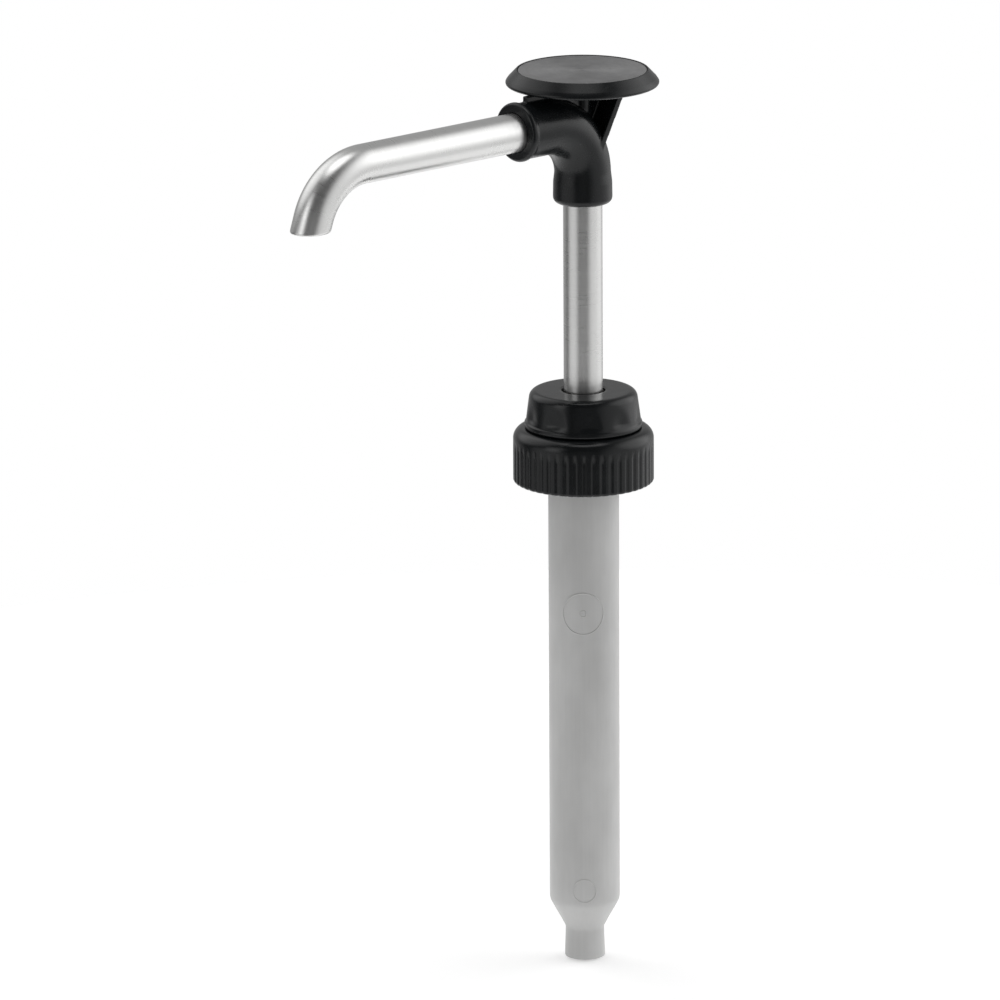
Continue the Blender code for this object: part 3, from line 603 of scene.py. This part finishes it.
def make_spring():
    """Return spring: round wire, ten turns, closed at both ends."""
    wire, coil = 0.8 * MM, 10.2 * MM    # radius of the wire and of its centreline
    turns, per_turn, sides = 10, 32, 12
    low, high = SPRING_LOW.z + wire, SPRING_HIGH.z - wire
    end_turns, closed_pitch = 1.1, 2 * wire + 0.25 * MM
    open_pitch = (high - low - 2 * closed_pitch * end_turns) / (turns - 2 * end_turns)
    rows = []
    for i in range(turns * per_turn + 1):
        turn = i / per_turn
        from_end = min(turn, turns - turn)
        rise = closed_pitch * min(from_end, end_turns) + open_pitch * max(from_end - end_turns, 0.0)
        height = low + rise if turn <= turns / 2 else high - rise
        pitch = closed_pitch if from_end < end_turns else open_pitch
        out = Vector((math.cos(TAU * turn), math.sin(TAU * turn), 0))
        along = Vector((-out.y, out.x, pitch / (TAU * coil))).normalized()
        up = out.cross(along)
        place = out * coil + Vector((0, 0, height))
        rows.append([place + wire * (math.cos(TAU * j / sides) * out + math.sin(TAU * j / sides) * up)
                     for j in range(sides)])
    return mesh_object("coil_spring", rows, False, caps=(0, len(rows) - 1))


def make_mould_mark(name, angle, height, radius, section):
    """A thin raised ring left by the mould, wrapped round the cylinder's wall."""
    rows = []
    sides, steps, relief = 8, 96, 0.7
    for i in range(steps):
        turn = TAU * i / steps
        row = []
        for j in range(sides):
            roll = TAU * j / sides
            reach = radius + section * math.cos(roll)
            across = angle + reach * math.cos(turn) / CYLINDER_R
            out = CYLINDER_R + relief * section * math.sin(roll)
            row.append((out * math.cos(across), out * math.sin(across), height + reach * math.sin(turn)))
        rows.append(row)
    return mesh_object(name, rows, True)


def make_cap():
    """Ribbed screw cap: smooth rounded shoulder, ribbed skirt, two turns of jar thread inside."""
    top, low, outer = CAP_HIGH.z, CAP_LOW.z, CAP_HIGH.x
    ribs, depth, steps_per_rib = 48, 0.3 * MM, 10
    shoulder, foot, mouth_edge, hole_edge = 4.6 * MM, 0.9 * MM, 0.4 * MM, 0.3 * MM
    inner_r, hole_r = 25.9 * MM, CYLINDER_R + CLEAR
    under = GASKET_HIGH.z + 2 * CLEAR + FLANGE_T
    fade_top, fade_low = top - 0.92 * shoulder, top - 2.0 * shoulder    # the ribs run out between these
    thread_rise, thread_depth, thread_start = 5.75 * MM, 1.0 * MM, low + 2.5 * MM
    thread_flat, thread_foot = 0.5 * MM, 1.5 * MM                       # half widths of the thread
    profile = arc(outer - shoulder, top - shoulder, shoulder, 90, 0, 14)
    outside = len(profile)
    profile += line((outer, top - shoulder - 0.2 * MM), (outer, low + foot), 40)
    profile += arc(outer - foot, low + foot, foot, 0, -90, 5)
    outside_end = len(profile)
    profile += arc(inner_r + mouth_edge, low + mouth_edge, mouth_edge, -90, -180, 3)
    inside = len(profile)
    profile += line((inner_r, low + 0.8 * MM), (inner_r, under - 0.5 * MM), 40)
    inside_end = len(profile)
    profile += [(inner_r - 0.5 * MM, under), (hole_r + hole_edge, under), (hole_r, under + hole_edge),
                (hole_r, top - hole_edge), (hole_r + hole_edge, top)]

    def shape(angle, r, z, row):
        if outside <= row < outside_end:
            wave = 0.5 - 0.5 * math.cos(ribs * angle)
            flute = smooth_step(0.35, 1.0, wave)
            return r - depth * flute * (1 - smooth_step(fade_low, fade_top, z)), z
        if inside <= row < inside_end:
            centre = thread_start + thread_rise * angle / TAU
            ridge = 0.0
            for turn in (0, 1):
                away = abs(z - centre - turn * thread_rise)
                ridge = max(ridge, 1 - smooth_step(thread_flat, thread_foot, away))
            return r - thread_depth * ridge, z
        return r, z

    return lathe("ribbed_cap", profile, ribs * steps_per_rib, shape)


def make_nut():
    """Domed nut: tapered side with shallow finger dents over a plain lip, smooth round crown."""
    top, low, base_r = NUT_HIGH.z, NUT_LOW.z, NUT_HIGH.x
    side_r, top_r, crown = 23.4 * MM, 22.1 * MM, 3.2 * MM
    hole_r, inner_r = 8.9 * MM, CYLINDER_R + CLEAR
    dents, dent_depth, steps_per_dent = 10, 0.75 * MM, 48
    half_low, half_taper = 0.46, 0.14   # a dent's half width in parts of the spacing, and its loss upward
    lip_z, crown_z, ceiling = low + 2.4 * MM, top - crown, top - 2.3 * MM
    profile = [(hole_r + 0.4 * MM, top)] + line((hole_r + 1.5 * MM, top), (top_r - crown, top), 6)
    profile += arc(top_r - crown, crown_z, crown, 90, 6, 12)
    profile += line(profile[-1], (side_r, lip_z + 0.25 * MM), 34)[1:]
    dented_end = len(profile)
    profile += [(side_r + 0.05 * MM, lip_z), (base_r - 0.15 * MM, lip_z - 0.2 * MM),
                (base_r, lip_z - 0.5 * MM), (base_r, low + 0.5 * MM),
                (base_r - 0.15 * MM, low + 0.15 * MM), (base_r - 0.5 * MM, low),
                (inner_r, low), (inner_r, ceiling), (hole_r, ceiling), (hole_r, top - 0.4 * MM),
                (hole_r + 0.12 * MM, top - 0.12 * MM)]

    def shape(angle, r, z, row):
        if row >= dented_end or r < top_r - crown:
            return r, z
        turn = (angle * dents / TAU + 0.5) % 1.0 - 0.5
        rise = (z - lip_z) / (crown_z - lip_z)
        half = half_low - half_taper * rise
        across = 1 - smooth_step(0.0, 1.0, abs(turn) / half)
        along = smooth_step(0.0, 0.25, rise) * (1 - smooth_step(0.2, 1.0, rise))
        return r - dent_depth * across * along, z

    return lathe("fluted_nut", profile, dents * steps_per_dent, shape)


# ------------------------------------------------------------------ stage
VIEW_AZIMUTH = math.radians(48.7)       # from the spout's direction toward +X
VIEW_ELEVATION = math.radians(15.0)
VIEW_DISTANCE = 4.27
VIEW_SENSOR, VIEW_FOCAL = 36.0, 378.0   # millimetres
VIEW_REACH = 50.0
AIM_ASIDE = 0.03401                     # the aim point is this far to the axis's left in the view
AIM_Z = -0.0248
VIEW_ROLL = math.radians(-0.30)
FLOOR_R, FLOOR_GAP = 0.6, 1.0 * MM
FLOOR_TONE, FLOOR_GLOW = 0.97, 0.35
ROOM = 0.12                             # strength of the surroundings outside the soft boxes
# Each box: turn from the camera to its right, height, half width and soft edge in degrees, and strength.
SOFT_BOXES = (
    (-62, -10, 26, 26, 0.75),
    (-52, 12, 12, 14, 0.9),
    (-52, 30, 12, 14, 1.2),
    (88, -4, 50, 40, 0.85),
    (104, 24, 28, 28, 1.2),
    (180, 5, 62, 40, 0.36),
    (-120, 40, 26, 30, 1.2),
    (0, 90, 17, 16, 2.4),
    (0, 0, 16, 24, 0.15),
)


def make_camera():
    """Long-lens camera at the photo's place."""
    data = bpy.data.cameras.new("camera")
    data.sensor_width = VIEW_SENSOR
    data.lens = VIEW_FOCAL
    data.clip_end = VIEW_REACH
    camera = bpy.data.objects.new("camera", data)
    bpy.context.scene.collection.objects.link(camera)
    right = Vector((math.cos(VIEW_AZIMUTH), math.sin(VIEW_AZIMUTH), 0))
    back = Vector((math.sin(VIEW_AZIMUTH) * math.cos(VIEW_ELEVATION),
                   -math.cos(VIEW_AZIMUTH) * math.cos(VIEW_ELEVATION), math.sin(VIEW_ELEVATION)))
    target = Vector((0, 0, AIM_Z)) - right * AIM_ASIDE
    camera.location = target + back * VIEW_DISTANCE
    camera.rotation_euler = (back.to_track_quat("Z", "Y").to_matrix().to_4x4()
                             @ Matrix.Rotation(VIEW_ROLL, 4, "Z")).to_euler()
    bpy.context.scene.camera = camera


def make_floor():
    """White, faintly glowing round floor a little under the nozzle."""
    build = bmesh.new()
    bmesh.ops.create_circle(build, cap_ends=True, segments=128, radius=FLOOR_R)
    floor = object_from(build, "floor")
    floor.location = (0, 0, CYLINDER_LOW.z - FLOOR_GAP)
    n = Nodes("pale_floor")
    paint(floor, n.finish(Base_Color=(FLOOR_TONE, FLOOR_TONE, FLOOR_TONE, 1), Roughness=0.9,
                          Emission_Color=(1, 1, 1, 1), Emission_Strength=FLOOR_GLOW))


def make_world():
    """Studio surroundings: a dim room with soft boxes round it. The camera itself sees plain white."""
    world = bpy.data.worlds.new("studio")
    bpy.context.scene.world = world
    world.use_nodes = True
    tree = world.node_tree
    tree.nodes.clear()
    link = tree.links.new

    def node(kind, **settings):
        made = tree.nodes.new(kind)
        for key, value in settings.items():
            setattr(made, key, value)
        return made

    direction = node("ShaderNodeTexCoord").outputs["Generated"]
    front = Vector((math.sin(VIEW_AZIMUTH), -math.cos(VIEW_AZIMUTH), 0))
    side = Vector((math.cos(VIEW_AZIMUTH), math.sin(VIEW_AZIMUTH), 0))
    total = None
    for turn, height, half, edge, strength in SOFT_BOXES:
        turn, height = math.radians(turn), math.radians(height)
        toward = (front * math.cos(turn) + side * math.sin(turn)) * math.cos(height)
        toward.z = math.sin(height)
        dot = node("ShaderNodeVectorMath", operation="DOT_PRODUCT")
        link(direction, dot.inputs[0])
        dot.inputs[1].default_value = toward
        ramp = node("ShaderNodeMapRange", interpolation_type="SMOOTHSTEP")
        ramp.inputs["From Min"].default_value = math.cos(math.radians(half + edge / 2))
        ramp.inputs["From Max"].default_value = math.cos(math.radians(half - edge / 2))
        ramp.inputs["To Min"].default_value = 0.0
        ramp.inputs["To Max"].default_value = strength
        link(dot.outputs["Value"], ramp.inputs["Value"])
        add = node("ShaderNodeMath", operation="ADD")
        link(ramp.outputs["Result"], add.inputs[0])
        if total is None:
            add.inputs[1].default_value = ROOM
        else:
            link(total, add.inputs[1])
        total = add.outputs[0]
    studio = node("ShaderNodeBackground")
    link(total, studio.inputs["Strength"])
    plain = node("ShaderNodeBackground")
    plain.inputs["Strength"].default_value = 1.0
    plain.inputs["Color"].default_value = (1, 1, 1, 1)
    path = node("ShaderNodeLightPath")
    mix = node("ShaderNodeMixShader")
    link(path.outputs["Is Camera Ray"], mix.inputs[0])
    link(studio.outputs[0], mix.inputs[1])
    link(plain.outputs[0], mix.inputs[2])
    link(mix.outputs[0], node("ShaderNodeOutputWorld").inputs["Surface"])


# ------------------------------------------------------------------ assembly
def place(piece, body, node, slot, material):
    """Put a made piece on its body, in place of its CAD node if it has one, with its finish."""
    paint(piece, material)
    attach(piece, body)
    if node:
        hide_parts(node)


bpy.context.scene.view_settings.view_transform = "Standard"
make_camera()
make_world()
make_floor()

satin_black = moulded_black("satin_black", 0.007, 0.22, 0.30, 20 * MICRON, 60 * MICRON)
gloss_black = moulded_black("gloss_black", 0.006, 0.15, 0.22, 10 * MICRON, 80 * MICRON)
grey = grey_cylinder()
rubber = seal_rubber()
white = natural_plastic()
bright_steel = plain_steel("bright_steel")

place(make_tube(), "plunger", "discharge_tube", "steel_tube", brushed_tube())
place(make_head(), "plunger", "pump_head", "head_plastic", satin_black)
place(make_disc(), "plunger", "palm_disc", "head_plastic", satin_black)
place(make_pad(), "plunger", "palm_pad", "pad_plastic", turned_pad())
place(make_cylinder(), "cylinder", "pump_cylinder", "cylinder_plastic", grey)
place(make_cap(), "jar_cap", "jar_cap", "cap_plastic", gloss_black)
place(make_nut(), "cylinder", "cylinder_nut", "cap_plastic", gloss_black)

spring = make_spring()
place(spring, "cylinder", "return_spring", "stainless_parts", bright_steel)
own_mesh(spring)

MARK_ANGLE = VIEW_AZIMUTH - math.radians(92)    # 2 degrees aside from facing the camera
MARK_SECTION = 0.3 * MM
MOULD_MARKS = (
    # name, turn from the mark angle, height, radius
    ("mould_ring", 0.0, -69.2 * MM, 8.7 * MM),
    ("gate_ring", 0.0, -69.2 * MM, 1.3 * MM),
    ("lower_mould_ring", 0.02, -187 * MM, 4.9 * MM),
)
for name, turn, height, radius in MOULD_MARKS:
    mark = make_mould_mark(name, MARK_ANGLE + turn, height, radius, MARK_SECTION)
    place(mark, "cylinder", None, "cylinder_plastic", grey)

CAD_FINISH = {
    "rod_guide_bushing": white, "rod_seal": rubber, "jar_gasket": rubber, "inlet_ball_cage": white,
    "return_spring": bright_steel, "inlet_ball": bright_steel, "spring_thrust_washer": bright_steel,
    "disc_screw": bright_steel, "piston_body": white, "outlet_ball_pin": bright_steel,
    "outlet_ball": bright_steel, "tube_seal": rubber, "piston_guide_ring": white,
    "piston_cup_seal": rubber, "seal_retainer": white,
}
for name, finish in CAD_FINISH.items():
    paint(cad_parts[name], finish)
